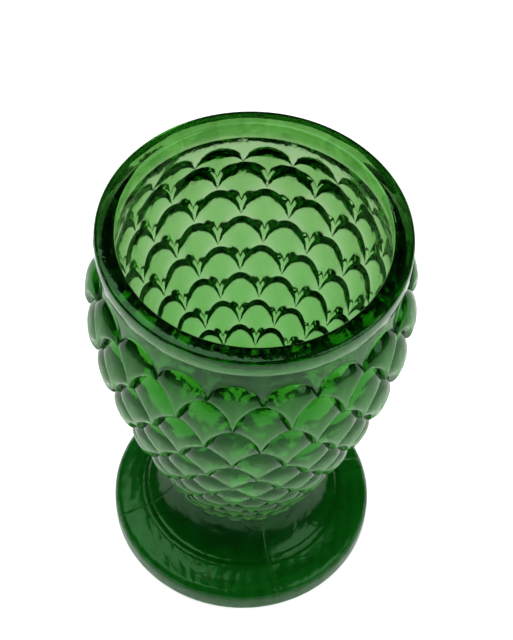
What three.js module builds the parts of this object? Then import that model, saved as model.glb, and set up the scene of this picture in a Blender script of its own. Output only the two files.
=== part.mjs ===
// A footed flower holder of green pressed glass: a deep bowl covered outside with rows of
// overlapping scales under a plain rim collar, standing on a thick round foot.
// Millimetres, +Z up. The origin is on the table, under the middle of the foot.
import * as THREE from "three";

// Overall sizes
const HEIGHT = 145;              // table to the top of the rim
const RIM_RADIUS = 45;           // outside of the rim collar
const FOOT_RADIUS = 41.5;        // outside of the foot

// Rim and collar
const RIM_WIDTH = 6;             // flat band around the mouth
const RIM_ROUNDING = 1.2;        // softened edges of the band
const COLLAR_DEPTH = 6.6;        // plain collar, from the rim down to the neck
const NECK_STEP = 0.9;           // height of the step from the collar in to the neck

// Bowl
const WALL = 3.6;                // glass between the inside and the creases of the scales
const BELLY_SWELL = 3.3;         // how far the widest scales stand out beyond the rim
const BELLY_DROP = 33;           // from the rim down to the widest place
const NECK_SWELL = 0.8;          // the same, for the line of the tips carried up to the collar
const SHOULDER_CURVE = 2.2;      // how late the bowl turns in towards the collar
const FLANK_CURVE = 1.5;         // how late the bowl turns in towards the waist
const FLOOR_THICKNESS = 13;      // solid glass under the inside of the bowl
const FLOOR_ROUNDING = 16;       // height over which the inside closes to its floor
const RING_CROWDING = 1.6;       // how much closer the rings of the inside get to its floor

// Scales: round bulges with an arched upper edge, each row overlapping the row above
const SCALES_PER_ROW = 18;
const ROW_COUNT = 11;
const FIRST_TIP_DROP = 13;       // from the rim down to the upper edges of the top row
const SECOND_TIP_DROP = 20.7;    // and of the second row, from where the rows are evenly crowded
const LAST_TIP_RISE = 4.7;       // from the waist up to the upper edges of the bottom row
const ROW_CROWDING = 0.285;      // how much closer the rows get towards the waist
const ARCH_SHARE = 0.85;         // height of a scale's arch over the distance to the next row
const SCALE_RELIEF = 3.2;        // how far a scale stands out from the creases around it
const SIDE_RELIEF = 0.4;         // part of that relief left where two scales meet
const PATTERN_TURN = 6;          // degrees from +X to the middle of a scale of the top row

// Waist and foot
const WAIST_RADIUS = 20.5;       // where the bowl is fused to the foot
const WAIST_HEIGHT = 26;
const FUSED_GAP = 0.3;           // clearance that keeps the two solids apart
const COVE_MARGIN = 10.5;        // from the foot's edge in to the ring where its cove ends
const COVE_HEIGHT = 12.5;
const COVE_CURVE = 1.7;          // how steeply the cove climbs to the waist
const FOOT_SHOULDER = 10;        // thickness of the foot near its edge
const FOOT_ROUNDING = 3.2;       // rounding of the foot's edge, above and below
const RING_MARGIN = 8.5;         // from the foot's edge in to the end of its standing ring
const UNDERSIDE_HOLLOW = 1.6;    // depth of the shallow dish inside that ring
const DISH_MARGIN = 3;           // width of the slope between the ring and the dish

// A scale from its upper edge down: share of the way down, and share of its relief
const SCALE_PROFILE = [[0, 0], [0.06, 0.6], [0.3, 1], [0.7, 0.68]];

// Fineness of the facets
const COLUMNS_PER_SCALE = 4;
const INSIDE_RINGS = 12;
const FOOT_SEGMENTS = 80;
const COVE_STEPS = 8;
const EDGE_STEPS = 5;

const BOWL_BOTTOM = WAIST_HEIGHT + FUSED_GAP;
const COLLAR_BOTTOM = HEIGHT - COLLAR_DEPTH;
const INSIDE_FLOOR = BOWL_BOTTOM + FLOOR_THICKNESS;
const MOUTH_RADIUS = RIM_RADIUS - RIM_WIDTH;
const BELLY_RADIUS = RIM_RADIUS + BELLY_SWELL;
const BELLY_HEIGHT = HEIGHT - BELLY_DROP;
const NECK_RADIUS = RIM_RADIUS + NECK_SWELL;
const COVE_RADIUS = FOOT_RADIUS - COVE_MARGIN;
const STANDING_RING = FOOT_RADIUS - RING_MARGIN;
const COLUMNS = SCALES_PER_ROW * COLUMNS_PER_SCALE;

const greenBowlGlass = new THREE.MeshStandardMaterial({
  color: 0x3f9a3c, roughness: 0.08, metalness: 0, transparent: true, opacity: 0.5,
});
const greenFootGlass = new THREE.MeshStandardMaterial({
  color: 0x0d5f22, roughness: 0.12, metalness: 0, transparent: true, opacity: 0.7,
});

// Radius over the tips of the scales at a height.
function tipRadius(z) {
  if (z >= BELLY_HEIGHT) {
    const t = Math.min(1, (z - BELLY_HEIGHT) / (COLLAR_BOTTOM - BELLY_HEIGHT));
    return BELLY_RADIUS - (BELLY_RADIUS - NECK_RADIUS) * t ** SHOULDER_CURVE;
  }
  const t = (BELLY_HEIGHT - z) / (BELLY_HEIGHT - BOWL_BOTTOM);
  const waistTips = WAIST_RADIUS + SCALE_RELIEF;
  return BELLY_RADIUS - (BELLY_RADIUS - waistTips) * t ** FLANK_CURVE;
}

const creaseRadius = (z) => tipRadius(z) - SCALE_RELIEF;

// Height of the upper edges of a row, counted from the top; the rows crowd towards the waist.
function rowHeight(row) {
  if (row === 0) {
    return HEIGHT - FIRST_TIP_DROP;
  }
  const top = HEIGHT - SECOND_TIP_DROP;
  const bottom = BOWL_BOTTOM + LAST_TIP_RISE;
  const t = (row - 1) / (ROW_COUNT - 2);
  return top - (top - bottom) * (t + ROW_CROWDING * t * (1 - t));
}

// Distance from a row down to the next one, or to the waist.
function rowSpacing(row) {
  const below = row + 1 < ROW_COUNT ? rowHeight(row + 1) : BOWL_BOTTOM;
  return rowHeight(row) - below;
}

// How far a column is from the middle of its scale in a row: 0 on the middle, 1 where two meet.
function sideways(column, row) {
  const shift = row % 2 === 0 ? 0 : 0.5;
  const turn = column / COLUMNS_PER_SCALE + shift;
  return Math.abs(2 * (turn - Math.round(turn)));
}

// Height of the arched upper edge of a row's scales at a column.
function edgeHeight(column, row) {
  const arch = 1 - Math.sqrt(1 - sideways(column, row) ** 2);
  return rowHeight(row) - ARCH_SHARE * rowSpacing(row) * arch;
}

// One column of the outside, from the rim down to the waist, as [radius, height] points.
function outsideColumn(column) {
  const points = [
    [RIM_RADIUS - RIM_ROUNDING, HEIGHT],
    [RIM_RADIUS, HEIGHT - RIM_ROUNDING],
    [RIM_RADIUS, COLLAR_BOTTOM],
    [creaseRadius(COLLAR_BOTTOM), COLLAR_BOTTOM - NECK_STEP],
  ];
  for (let row = 0; row < ROW_COUNT; row += 1) {
    const edge = edgeHeight(column, row);
    const relief = SCALE_RELIEF * (1 - (1 - SIDE_RELIEF) * sideways(column, row) ** 2);
    const nextEdge = row + 1 < ROW_COUNT ? edgeHeight(column, row + 1) : BOWL_BOTTOM;
    for (const [down, share] of SCALE_PROFILE) {
      const z = edge + (nextEdge - edge) * down;
      points.push([creaseRadius(z) + share * relief, z]);
    }
  }
  points.push([WAIST_RADIUS, BOWL_BOTTOM]);
  return points;
}

// The inside, from just above its floor up to the rim.
function insideColumn() {
  const points = [];
  for (let i = 1; i <= INSIDE_RINGS; i += 1) {
    const t = i / INSIDE_RINGS;
    const z = INSIDE_FLOOR + (COLLAR_BOTTOM - INSIDE_FLOOR) * t ** RING_CROWDING;
    const closing = Math.min(1, (z - INSIDE_FLOOR) / FLOOR_ROUNDING);
    const share = Math.sqrt(1 - (1 - closing) ** 2);
    points.push([(creaseRadius(z) - WALL) * share, z]);
  }
  points[points.length - 1][0] = MOUTH_RADIUS;
  points.push([MOUTH_RADIUS, HEIGHT - RIM_ROUNDING]);
  points.push([MOUTH_RADIUS + RIM_ROUNDING, HEIGHT]);
  return points;
}

// A closed body from columns of points around the axis, each from the top pole's side down.
function ringedBody(columns, topPole, bottomPole) {
  const rings = columns[0].length;
  const count = columns.length;
  const positions = [];
  columns.forEach((column, j) => {
    const angle = THREE.MathUtils.degToRad(PATTERN_TURN + (360 * j) / count);
    column.forEach(([r, z]) => positions.push(r * Math.cos(angle), r * Math.sin(angle), z));
  });
  positions.push(0, 0, topPole, 0, 0, bottomPole);
  const top = rings * count;
  const bottom = top + 1;
  const faces = [];
  for (let j = 0; j < count; j += 1) {
    const a = j * rings;
    const b = ((j + 1) % count) * rings;
    for (let i = 0; i + 1 < rings; i += 1) {
      faces.push(a + i, a + i + 1, b + i, b + i, a + i + 1, b + i + 1);
    }
    faces.push(top, a, b);
    faces.push(bottom, b + rings - 1, a + rings - 1);
  }
  const geometry = new THREE.BufferGeometry();
  geometry.setAttribute("position", new THREE.Float32BufferAttribute(positions, 3));
  geometry.setIndex(faces);
  geometry.computeVertexNormals();
  return geometry;
}

function bowlGeometry() {
  const inside = insideColumn();
  const columns = [];
  for (let j = 0; j < COLUMNS; j += 1) {
    columns.push([...inside, ...outsideColumn(j)]);
  }
  return ringedBody(columns, INSIDE_FLOOR, BOWL_BOTTOM);
}

function footGeometry() {
  const profile = [new THREE.Vector2(0, UNDERSIDE_HOLLOW)];
  profile.push(new THREE.Vector2(STANDING_RING - DISH_MARGIN, UNDERSIDE_HOLLOW));
  profile.push(new THREE.Vector2(STANDING_RING, 0));
  const roundedEdge = (z, from, to) => {
    for (let i = 0; i <= EDGE_STEPS; i += 1) {
      const angle = from + ((to - from) * i) / EDGE_STEPS;
      profile.push(new THREE.Vector2(
        FOOT_RADIUS - FOOT_ROUNDING + FOOT_ROUNDING * Math.cos(angle),
        z + FOOT_ROUNDING * Math.sin(angle),
      ));
    }
  };
  roundedEdge(FOOT_ROUNDING, -Math.PI / 2, 0);
  roundedEdge(FOOT_SHOULDER - FOOT_ROUNDING, 0, Math.PI / 2);
  for (let i = 0; i <= COVE_STEPS; i += 1) {
    const t = i / COVE_STEPS;
    profile.push(new THREE.Vector2(
      COVE_RADIUS - (COVE_RADIUS - WAIST_RADIUS) * t,
      COVE_HEIGHT + (WAIST_HEIGHT - COVE_HEIGHT) * t ** COVE_CURVE,
    ));
  }
  profile.push(new THREE.Vector2(0, WAIST_HEIGHT));
  const lathe = new THREE.LatheGeometry(profile, FOOT_SEGMENTS);
  lathe.rotateX(Math.PI / 2);
  return lathe;
}

const bowl = new THREE.Mesh(bowlGeometry(), greenBowlGlass);
bowl.name = "bowl";

const foot = new THREE.Mesh(footGeometry(), greenFootGlass);
foot.name = "foot";

const flowerHolder = new THREE.Group();
flowerHolder.add(bowl, foot);

export default flowerHolder;
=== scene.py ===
"""A footed flower holder of green pressed glass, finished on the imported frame.

The bowl is one pressed wall: a smooth inside, a plain rim collar, and rows of overlapping
scales outside. It is fused at its waist to a thick round foot. Metres, +Z up.
"""

import math

import bpy
from mathutils import Matrix, Vector


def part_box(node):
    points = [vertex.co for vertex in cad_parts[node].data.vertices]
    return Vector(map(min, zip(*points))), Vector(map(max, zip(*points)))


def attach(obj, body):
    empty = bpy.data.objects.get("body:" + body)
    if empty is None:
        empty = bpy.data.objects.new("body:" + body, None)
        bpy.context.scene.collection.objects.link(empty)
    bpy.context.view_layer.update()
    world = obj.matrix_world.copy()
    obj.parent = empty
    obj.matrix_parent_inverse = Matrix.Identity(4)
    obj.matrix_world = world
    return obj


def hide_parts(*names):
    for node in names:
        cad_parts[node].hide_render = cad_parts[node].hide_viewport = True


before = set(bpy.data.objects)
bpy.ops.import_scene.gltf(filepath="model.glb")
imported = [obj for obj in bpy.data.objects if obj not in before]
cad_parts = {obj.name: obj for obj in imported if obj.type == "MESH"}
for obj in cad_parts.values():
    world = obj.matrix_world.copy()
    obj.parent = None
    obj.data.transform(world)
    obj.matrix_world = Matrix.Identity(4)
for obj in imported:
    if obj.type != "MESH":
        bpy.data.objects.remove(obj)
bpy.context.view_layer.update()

MM = 0.001

# Places taken from the frame
bowl_low, bowl_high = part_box("bowl")
foot_low, foot_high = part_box("foot")
RIM_HEIGHT = bowl_high.z
WAIST_HEIGHT = foot_high.z
BOWL_BOTTOM = bowl_low.z
FOOT_RADIUS = foot_high.x

# Rim and collar
RIM_RADIUS = 45 * MM
RIM_WIDTH = 6 * MM
RIM_ROUNDING = 1.2 * MM
COLLAR_DEPTH = 6.6 * MM
NECK_STEP = 0.9 * MM

# Bowl
WALL = 3.6 * MM
BELLY_RADIUS = RIM_RADIUS + 3.3 * MM
BELLY_HEIGHT = RIM_HEIGHT - 33 * MM
NECK_RADIUS = RIM_RADIUS + 0.8 * MM
SHOULDER_CURVE = 2.2
FLANK_CURVE = 1.5
FLOOR_THICKNESS = 13 * MM
FLOOR_ROUNDING = 16 * MM

# Scales
SCALES = 18
ROWS = 11
FIRST_TIP_DROP = 13 * MM
SECOND_TIP_DROP = 20.7 * MM
LAST_TIP_RISE = 4.7 * MM
ROW_CROWDING = 0.285
ARCH_SHARE = 1.1
RELIEF = 3.2 * MM
RIDGE = 0.36
CLIMB = 0.7
CREST = 0.6
SIDE_RELIEF = 0.25
SIDE_TAPER = 0.9
ARCH_SQUARENESS = 0.99
PATTERN_TURN = math.radians(-94)

# Waist and foot
WAIST_RADIUS = 20.5 * MM
COVE_RADIUS = FOOT_RADIUS - 10.5 * MM
COVE_HEIGHT = 12.5 * MM
COVE_CURVE = 1.7
FOOT_SHOULDER = 10 * MM
FOOT_ROUNDING = 3.2 * MM
STANDING_RING = FOOT_RADIUS - 8.5 * MM
UNDERSIDE_HOLLOW = 1.6 * MM
RING_LINE = 0.8 * MM

# Fineness
SCALE_COLUMNS = 18
SCALE_RINGS = 16
INSIDE_RINGS = 36

# Glass
GLASS_IOR = 1.51
BOWL_COLOUR = (0.47, 0.8, 0.33)
BOWL_DENSITY = 330
BOWL_TINTS = ((0.55, 0.56, 0.55), (0.6, 0.6, 0.59))
# Painted shadow: the lower bowl is tinted darker and greener, fading out higher up, in place of the
# glass's green shadow on the floor seen through it.
FLOOR_SHADOW_TINT = (0.3, 0.48, 0.28)
FLOOR_SHADOW_LOW = 50 * MM
FLOOR_SHADOW_HIGH = 120 * MM
RIM_TINTS = ((0.17, 0.3, 0.14), (0.3, 0.45, 0.24))
OUTSIDE_ROUGHNESS = 0.05
# Painted shade: the first green darkens the skin in the creases between the scales, the second lights it
# on their crests.
SKIN_GREENS_SHADED_AND_LIT = ((0.02, 0.25, 0.02), (0.2, 0.66, 0.17))
SKIN_SHARE = 0.55
FRONT_TINT = (0.17, 0.5, 0.15)
RIM_SKIN = 0.2
# The skin's value in the creases: little light spread there, and the darkest painted shade.
CREASE_SKIN_AND_SHADE = 0.1
FOOT_COLOUR = (0.1, 0.62, 0.1)
FOOT_DENSITY = 480
FOOT_TINTS = ((0.2, 0.5, 0.2), (0.3, 0.62, 0.28))
FOOT_GREENS = ((0.004, 0.15, 0.012), (0.015, 0.34, 0.04))
# Painted shade: the ring line's groove on the foot is coloured this dark green.
RING_LINE_SHADE = (0.003, 0.05, 0.006)
# Painted light: the lower half of the foot's edge is coloured this paler green.
FOOT_EDGE_LIGHT = (0.02, 0.38, 0.05)
FOOT_SHARE = 0.3
SPECULAR_LEVEL = 0.12
SPECULAR_TINT = (0.4, 1, 0.45)
SEAM_TURN = math.radians(19)

COLLAR_BOTTOM = RIM_HEIGHT - COLLAR_DEPTH
INSIDE_FLOOR = BOWL_BOTTOM + FLOOR_THICKNESS
MOUTH_RADIUS = RIM_RADIUS - RIM_WIDTH
PITCH = 2 * math.pi / SCALES


def deselect_all():
    if bpy.context.object and bpy.context.object.mode != "OBJECT":
        bpy.ops.object.mode_set(mode="OBJECT")
    bpy.ops.object.select_all(action="DESELECT")


# --- The bowl's shape ---------------------------------------------------------------------


def tip_radius(z):
    """Radius over the tips of the scales at a height."""
    if z >= BELLY_HEIGHT:
        t = min(1, (z - BELLY_HEIGHT) / (COLLAR_BOTTOM - BELLY_HEIGHT))
        return BELLY_RADIUS - (BELLY_RADIUS - NECK_RADIUS) * t**SHOULDER_CURVE
    t = min(1, (BELLY_HEIGHT - z) / (BELLY_HEIGHT - BOWL_BOTTOM))
    return BELLY_RADIUS - (BELLY_RADIUS - WAIST_RADIUS - RELIEF) * t**FLANK_CURVE


def crease_radius(z):
    return tip_radius(z) - crease_depth(z)


def row_height(row):
    """Height of the upper edges of a row; the rows crowd towards the waist."""
    if row == 0:
        return RIM_HEIGHT - FIRST_TIP_DROP
    top = RIM_HEIGHT - SECOND_TIP_DROP
    bottom = BOWL_BOTTOM + LAST_TIP_RISE
    t = (row - 1) / (ROWS - 2)
    return top - (top - bottom) * (t + ROW_CROWDING * t * (1 - t))


def row_spacing(row):
    """Distance from a row down to the next one, or to the waist."""
    below = BOWL_BOTTOM if row == ROWS - 1 else row_height(row + 1)
    return row_height(row) - below


def sideways(turn, row):
    """How far a place is from the middle of its scale: 0 on the middle, 1 where two meet."""
    shifted = turn + (0 if row % 2 == 0 else 0.5)
    return abs(2 * (shifted - round(shifted)))


def edge_height(turn, row):
    """Height of the round upper edge of a row's scales."""
    side = sideways(turn, row)
    arch = 1 - math.sqrt(1 - (ARCH_SQUARENESS * side) ** 2)
    return row_height(row) - ARCH_SHARE * row_spacing(row) * arch


def relief_at(turn, row):
    """How far a scale stands out, least where it meets its neighbours."""
    swell = math.cos(math.pi / 2 * sideways(turn, row))
    return SIDE_RELIEF + (1 - SIDE_RELIEF) * swell


def crease_depth(z):
    """How deep the creases are under the tips; shallower where the bowl is narrower."""
    return RELIEF * tip_radius(z) / BELLY_RADIUS


def bulge(v, ridge):
    """How far a scale stands out at a share of the way down: a climb, a swell and a fall."""
    if v < ridge:
        return CLIMB * (v / ridge) ** 0.9
    if v < CREST:
        return CLIMB + (1 - CLIMB) * math.sin(math.pi / 2 * (v - ridge) / (CREST - ridge))
    return math.sqrt(1 - ((v - CREST) / (1 - CREST)) ** 2)


def outside_column(turn):
    """The outside from the rim down to the waist, as (radius, height) points."""
    points = []
    for i in range(5):
        a = math.pi / 2 * (1 - i / 4)
        points.append((RIM_RADIUS - RIM_ROUNDING * (1 - math.cos(a)),
                       RIM_HEIGHT - RIM_ROUNDING * (1 - math.sin(a))))
    points.append((RIM_RADIUS, (RIM_HEIGHT + COLLAR_BOTTOM) / 2))
    points.append((RIM_RADIUS, COLLAR_BOTTOM + NECK_STEP))
    points.append((RIM_RADIUS - 0.3 * NECK_STEP, COLLAR_BOTTOM + 0.3 * NECK_STEP))
    points.append((RIM_RADIUS - NECK_STEP, COLLAR_BOTTOM))
    neck = crease_radius(COLLAR_BOTTOM)
    points.append((neck, COLLAR_BOTTOM - NECK_STEP))
    top_edge = edge_height(turn, 0)
    start = COLLAR_BOTTOM - NECK_STEP
    for i in range(1, 4):
        z = start + (top_edge - start) * i / 4
        points.append((crease_radius(z), z))
    for row in range(ROWS):
        edge = edge_height(turn, row)
        below = BOWL_BOTTOM if row == ROWS - 1 else edge_height(turn, row + 1)
        climb = RIDGE * row_spacing(row) * math.cos(math.pi / 2 * SIDE_TAPER * sideways(turn, row))
        ridge = min(CREST, climb / (edge - below))
        for i in range(SCALE_RINGS):
            v = (i / SCALE_RINGS) ** 1.5
            z = edge + (below - edge) * v
            stands_out = crease_depth(z) * relief_at(turn, row) * bulge(v, ridge)
            points.append((crease_radius(z) + stands_out, z))
    points.append((WAIST_RADIUS, BOWL_BOTTOM))
    points.append((WAIST_RADIUS * 0.5, BOWL_BOTTOM))
    points.append((0, BOWL_BOTTOM))
    return points


def inside_column():
    """The inside from the middle of its floor up to the rim's flat band."""
    points = [(0, INSIDE_FLOOR)]
    for i in range(1, INSIDE_RINGS + 1):
        t = i / INSIDE_RINGS
        z = INSIDE_FLOOR + (COLLAR_BOTTOM - INSIDE_FLOOR) * t**2
        closing = min(1, (z - INSIDE_FLOOR) / FLOOR_ROUNDING)
        share = math.sqrt(1 - (1 - closing) ** 2)
        wall = (crease_radius(z) - WALL) * share
        blend = max(0, (z - COLLAR_BOTTOM + 12 * MM) / (12 * MM))
        points.append((wall + (MOUTH_RADIUS - wall) * blend**2 * (3 - 2 * blend), z))
    points.append((MOUTH_RADIUS, (COLLAR_BOTTOM + RIM_HEIGHT) / 2))
    for i in range(5):
        a = math.pi / 2 * i / 4
        points.append((MOUTH_RADIUS + RIM_ROUNDING * (1 - math.cos(a)),
                       RIM_HEIGHT - RIM_ROUNDING * (1 - math.sin(a))))
    points.append(((MOUTH_RADIUS + RIM_RADIUS) / 2, RIM_HEIGHT))
    return points


def skin_and_crease_shade_at(radius, z):
    """How much light the skin spreads, and the painted shade of its green: least spread and darkest in
    the creases, most spread and lightest on the scales' crests.
    """
    if z > COLLAR_BOTTOM - NECK_STEP:
        return RIM_SKIN
    return CREASE_SKIN_AND_SHADE + (1 - CREASE_SKIN_AND_SHADE) * min(1, (radius - crease_radius(z)) / crease_depth(z))


def make_bowl():
    deselect_all()
    inside = inside_column()
    rings = len(inside) + len(outside_column(0))
    bpy.ops.mesh.primitive_grid_add(x_subdivisions=SCALE_COLUMNS, y_subdivisions=rings - 1, size=2)
    bowl = bpy.context.object
    bowl.name = "pressed_bowl"
    columns = {}
    outside = bowl.data.attributes.new("outside", "FLOAT", "POINT")
    for vertex in bowl.data.vertices:
        j = round((vertex.co.x + 1) / 2 * SCALE_COLUMNS)
        i = round((vertex.co.y + 1) / 2 * (rings - 1))
        if j not in columns:
            columns[j] = inside + outside_column(j / SCALE_COLUMNS)
        radius, z = columns[j][i]
        angle = PATTERN_TURN + PITCH * j / SCALE_COLUMNS
        vertex.co = (radius * math.cos(angle), radius * math.sin(angle), z)
        # The outside carries how much light the skin spreads and the painted shade of its creases; the
        # inside keeps 0.
        if i >= len(inside):
            outside.data[vertex.index].value = skin_and_crease_shade_at(radius, z)
    bpy.ops.object.mode_set(mode="EDIT")
    bpy.ops.mesh.select_all(action="SELECT")
    bpy.ops.mesh.spin(
        steps=SCALES - 1,
        dupli=True,
        angle=PITCH * (SCALES - 1),
        center=(0, 0, 0),
        axis=(0, 0, 1),
    )
    bpy.ops.mesh.select_all(action="SELECT")
    bpy.ops.mesh.remove_doubles(threshold=2e-6)
    bpy.ops.mesh.normals_make_consistent(inside=False)
    bpy.ops.object.mode_set(mode="OBJECT")
    bpy.ops.object.shade_smooth_by_angle(angle=math.radians(60))
    return bowl


# --- The foot's shape ---------------------------------------------------------------------


def foot_profile():
    points = [(0, UNDERSIDE_HOLLOW), (STANDING_RING - 6 * MM, UNDERSIDE_HOLLOW)]
    points.append((STANDING_RING - 2 * MM, 0.4 * MM))
    points.append((STANDING_RING, 0))
    for z, start in ((FOOT_ROUNDING, -90), (FOOT_SHOULDER - FOOT_ROUNDING, 0)):
        for i in range(9):
            a = math.radians(start + 90 * i / 8)
            points.append((FOOT_RADIUS - FOOT_ROUNDING + FOOT_ROUNDING * math.cos(a),
                           z + FOOT_ROUNDING * math.sin(a)))
    points.append((COVE_RADIUS + RING_LINE, COVE_HEIGHT - RING_LINE))
    for i in range(17):
        t = i / 16
        points.append((COVE_RADIUS - (COVE_RADIUS - WAIST_RADIUS) * t,
                       COVE_HEIGHT + (WAIST_HEIGHT - COVE_HEIGHT) * t**COVE_CURVE))
    points.append((0, WAIST_HEIGHT))
    return points


def make_foot():
    deselect_all()
    profile = foot_profile()
    bpy.ops.mesh.primitive_plane_add(size=2 * MM)
    foot = bpy.context.object
    foot.name = "heavy_foot"
    bpy.ops.object.mode_set(mode="EDIT")
    bpy.ops.mesh.select_all(action="SELECT")
    bpy.ops.mesh.merge(type="CENTER")
    bpy.ops.transform.translate(value=(0, 0, profile[0][1]))
    for (r0, z0), (r1, z1) in zip(profile, profile[1:]):
        bpy.ops.mesh.extrude_vertices_move(TRANSFORM_OT_translate={"value": (r1 - r0, 0, z1 - z0)})
    bpy.ops.mesh.select_all(action="SELECT")
    bpy.ops.mesh.spin(steps=192, angle=2 * math.pi, center=(0, 0, 0), axis=(0, 0, 1))
    bpy.ops.mesh.select_all(action="SELECT")
    bpy.ops.mesh.remove_doubles(threshold=2e-6)
    bpy.ops.mesh.normals_make_consistent(inside=False)
    bpy.ops.object.mode_set(mode="OBJECT")
    bpy.ops.object.shade_smooth_by_angle(angle=math.radians(35))
    return foot


# --- Glass --------------------------------------------------------------------------------


class Shade:
    """A value in a material, so that its sums read as plain expressions."""

    def __init__(self, tree, socket):
        self.tree = tree
        self.socket = socket

    def feed(self, socket, value):
        if isinstance(value, Shade):
            self.tree.links.new(value.socket, socket)
        elif socket.type == "RGBA":
            socket.default_value = (*value, 1)
        else:
            socket.default_value = value

    def node(self, kind, sockets, output=0, **settings):
        """Any other node: its settings are set first, then the sockets, by name or number."""
        made = self.tree.nodes.new("ShaderNode" + kind)
        for key, value in settings.items():
            setattr(made, key, value)
        for key, value in sockets.items():
            self.feed(made.inputs[key], value)
        return Shade(self.tree, made.outputs[output])

    def math(self, operation, *values):
        return self.node("Math", dict(enumerate(values)), operation=operation)

    def __add__(self, other):
        return self.math("ADD", self, other)

    def __sub__(self, other):
        return self.math("SUBTRACT", self, other)

    def __rsub__(self, other):
        return self.math("SUBTRACT", other, self)

    def __mul__(self, other):
        return self.math("MULTIPLY", self, other)

    def __truediv__(self, other):
        return self.math("DIVIDE", self, other)

    def __pow__(self, other):
        return self.math("POWER", self, other)

    __radd__ = __add__
    __rmul__ = __mul__

    def band(self, centre, width):
        """1 at a centre, falling softly to 0 at half a width on either side."""
        away = self.math("ABSOLUTE", self - centre) / (width / 2)
        return self.math("MAXIMUM", 1 - away * away, 0)

    def between(self, low, high):
        """0 up to low, 1 from high, and a smooth climb in the middle."""
        ends = {"Value": self, "From Min": low, "From Max": high}
        return self.node("MapRange", ends, interpolation_type="SMOOTHSTEP")

    def blend(self, first, second):
        """A colour that goes from the first to the second as this value goes from 0 to 1."""
        return self.node("Mix", {0: self, 6: first, 7: second}, 2, data_type="RGBA")

    def noise(self, scale, detail, distortion=0):
        sockets = {"Vector": self, "Scale": scale, "Detail": detail, "Distortion": distortion}
        return self.node("TexNoise", sockets)


def start_glass(name, colour, density):
    """Clear glass that deepens in colour with its thickness, and places on its piece."""
    material = bpy.data.materials.new(name)
    material.use_nodes = True
    tree = material.node_tree
    shader = tree.nodes["Principled BSDF"]
    shader.inputs["IOR"].default_value = GLASS_IOR
    shader.inputs["Transmission Weight"].default_value = 1
    shader.inputs["Specular IOR Level"].default_value = SPECULAR_LEVEL
    shader.inputs["Specular Tint"].default_value = (*SPECULAR_TINT, 1)
    coordinates = tree.nodes.new("ShaderNodeTexCoord")
    place = Shade(tree, coordinates.outputs["Object"])
    absorption = place.node("VolumeAbsorption", {"Color": colour, "Density": density})
    tree.links.new(absorption.socket, tree.nodes["Material Output"].inputs["Volume"])
    return material, shader, place


def places_around_axis(place):
    """Distance from the axis, direction around it, and height."""
    split = place.tree.nodes.new("ShaderNodeSeparateXYZ")
    place.feed(split.inputs[0], place)
    x, y, z = (Shade(place.tree, split.outputs[i]) for i in range(3))
    return (x * x + y * y) ** 0.5, place.math("ARCTAN2", y, x), z


def finish_glass(shader, place, tint, roughness, height, depth):
    """Tint, roughness and surface relief of a glass."""
    place.feed(shader.inputs["Base Color"], tint)
    place.feed(shader.inputs["Roughness"], roughness)
    bump = place.node("Bump", {"Height": height, "Distance": depth, "Strength": 1})
    place.feed(shader.inputs["Normal"], bump)


def spread_light(shader, green, share):
    """Lets a share of the light spread in the skin of the glass instead of passing straight."""
    through = green.node("BsdfTranslucent", {"Color": green})
    back = green.node("BsdfDiffuse", {"Color": green})
    both = green.node("MixShader", {1: through, 2: back})
    clear = Shade(green.tree, shader.outputs[0])
    mixed = green.node("MixShader", {0: share, 1: clear, 2: both})
    green.tree.links.new(mixed.socket, green.tree.nodes["Material Output"].inputs["Surface"])


def bowl_glass():
    """Fire-polished green glass, worn on the rim and cloudier on the crests of the scales, with painted
    shade in the creases and a painted shadow low in the bowl.
    """
    material, shader, place = start_glass("bowl_glass", BOWL_COLOUR, BOWL_DENSITY)
    z = places_around_axis(place)[2]
    outside = place.node("Attribute", {}, "Fac", attribute_name="outside")
    front = 1 - place.node("NewGeometry", {}, "Backfacing")
    skin = outside * front
    striae = place.noise(90, 2, 1.5)
    ripple = place.noise(260, 3)
    grain = place.noise(1400, 2)
    worn_rim = z.between(RIM_HEIGHT - 2 * MM, RIM_HEIGHT)
    tint = striae.between(0.35, 0.65).blend(*BOWL_TINTS)
    # Painted shadow: lower down, the tint darkens and greens in place of the glass's shadow on the floor
    # seen through it.
    tint = z.between(FLOOR_SHADOW_LOW, FLOOR_SHADOW_HIGH).blend(FLOOR_SHADOW_TINT, tint)
    rim = striae.between(0.4, 0.6).blend(*RIM_TINTS)
    tint = z.between(COLLAR_BOTTOM - 1 * MM, COLLAR_BOTTOM + 0.5 * MM).blend(tint, rim)
    tint = (outside.between(0, 0.05) * front).blend(tint, FRONT_TINT)
    roughness = 0.015 + 0.03 * ripple + 0.05 * worn_rim * grain + OUTSIDE_ROUGHNESS * skin
    finish_glass(shader, place, tint, roughness, ripple + 0.1 * grain * worn_rim, 0.12 * MM)
    # Painted shade: the skin's green darkens in the creases between the scales and lightens on their
    # crests.
    green = (outside * 0.8 + striae * 0.3).between(0.3, 1.05).blend(*SKIN_GREENS_SHADED_AND_LIT)
    spread_light(shader, green, SKIN_SHARE * skin)
    return material


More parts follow.
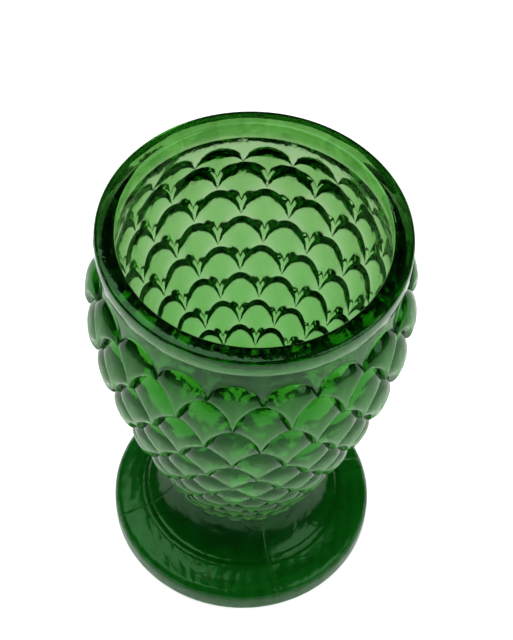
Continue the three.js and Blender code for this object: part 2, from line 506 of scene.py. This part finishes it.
def foot_glass():
    """Thick rippled glass with chill marks on its edge, four mould seams and a ring line, with painted
    shade in the ring line and a painted lighter band low on its edge.
    """
    material, shader, place = start_glass("foot_glass", FOOT_COLOUR, FOOT_DENSITY)
    radius, around, z = places_around_axis(place)
    striae = place.noise(60, 2, 2)
    ripple = place.noise(110, 3, 1)
    grain = place.noise(900, 2)
    quarter = place.math("PINGPONG", around - SEAM_TURN, math.pi / 4)
    seam = (quarter * radius).between(0.5 * MM, 0)
    waves = {"Vector": place, "Scale": 70, "Distortion": 9, "Detail": 2, "Detail Scale": 1.2}
    on_edge = radius.between(COVE_RADIUS, COVE_RADIUS + 3 * MM)
    chill = place.node("TexWave", waves) * on_edge
    ring = radius.band(COVE_RADIUS + 0.4 * MM, 2.2 * MM)
    lit_low_edge = z.between(FOOT_SHOULDER - 1 * MM, FOOT_SHOULDER - 5 * MM)
    tint = striae.between(0.35, 0.65).blend(*FOOT_TINTS)
    roughness = 0.1 + 0.12 * ripple + 0.1 * grain * on_edge
    relief = ripple + 0.2 * chill - 0.6 * seam - 0.8 * ring
    finish_glass(shader, place, tint, roughness, relief, 0.4 * MM)
    green = (striae * 0.8 + chill * 0.3).between(0.3, 0.75).blend(*FOOT_GREENS)
    # Painted shade: the ring line is coloured darker.
    green = (0.8 * ring).blend(green, RING_LINE_SHADE)
    # Painted light: the lower part of the foot's edge is coloured paler.
    green = (lit_low_edge * 0.6).blend(green, FOOT_EDGE_LIGHT)
    spread_light(shader, green, FOOT_SHARE * (0.6 + 0.8 * striae))
    return material


# --- Setting ------------------------------------------------------------------------------


def make_floor():
    deselect_all()
    bpy.ops.mesh.primitive_plane_add(size=6)
    floor = bpy.context.object
    floor.name = "pale_floor"
    floor.location.z = -0.0002
    material = bpy.data.materials.new("pale_floor")
    material.use_nodes = True
    shader = material.node_tree.nodes["Principled BSDF"]
    shader.inputs["Base Color"].default_value = (0.9, 0.9, 0.9, 1)
    shader.inputs["Roughness"].default_value = 0.9
    shader.inputs["Emission Color"].default_value = (1, 1, 1, 1)
    shader.inputs["Emission Strength"].default_value = 0.85
    floor.data.materials.append(material)


def soft_light(name, place, target, size, power):
    data = bpy.data.lights.new(name, "AREA")
    data.shape = "DISK"
    data.size = size
    data.energy = power
    lamp = bpy.data.objects.new(name, data)
    bpy.context.scene.collection.objects.link(lamp)
    lamp.location = place
    lamp.rotation_euler = (Vector(target) - Vector(place)).to_track_quat("-Z", "Y").to_euler()
    return lamp


def make_camera():
    data = bpy.data.cameras.new("camera")
    data.lens = 123.75
    data.clip_start = 0.05
    camera = bpy.data.objects.new("camera", data)
    bpy.context.scene.collection.objects.link(camera)
    pitch, pan, roll = (math.radians(a) for a in (54.17, 0.28, 3.18))
    forward = Vector((math.sin(pan) * math.cos(pitch), math.cos(pan) * math.cos(pitch), -math.sin(pitch)))
    level = Vector((math.cos(pan), -math.sin(pan), 0))
    upright = level.cross(forward)
    right = math.cos(roll) * level + math.sin(roll) * upright
    up = math.cos(roll) * upright - math.sin(roll) * level
    turn = Matrix((right, up, -forward)).transposed()
    camera.matrix_world = Matrix.Translation((0, -379.2 * MM, 628.1 * MM)) @ turn.to_4x4()
    bpy.context.scene.camera = camera


def make_setting():
    scene = bpy.context.scene
    scene.view_settings.view_transform = "Standard"
    scene.cycles.max_bounces = 24
    scene.cycles.transmission_bounces = 24
    scene.cycles.transparent_max_bounces = 16
    world = bpy.data.worlds.new("studio")
    world.use_nodes = True
    world.node_tree.nodes["Background"].inputs["Color"].default_value = (1, 1, 1, 1)
    world.node_tree.nodes["Background"].inputs["Strength"].default_value = 0.03
    scene.world = world
    soft_light("overhead", (-0.5, 0.2, 1.4), (0, 0, 0), 1.4, 12)
    soft_light("side", (1.1, -0.5, 0.9), (0, 0, 0.05), 1.2, 8)
    make_floor()


make_camera()
bowl = make_bowl()
bowl.data.materials.append(bowl_glass())
foot = make_foot()
foot.data.materials.append(foot_glass())
for piece, node in ((bowl, "bowl"), (foot, "foot")):
    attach(piece, "root")
    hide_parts(node)
make_setting()
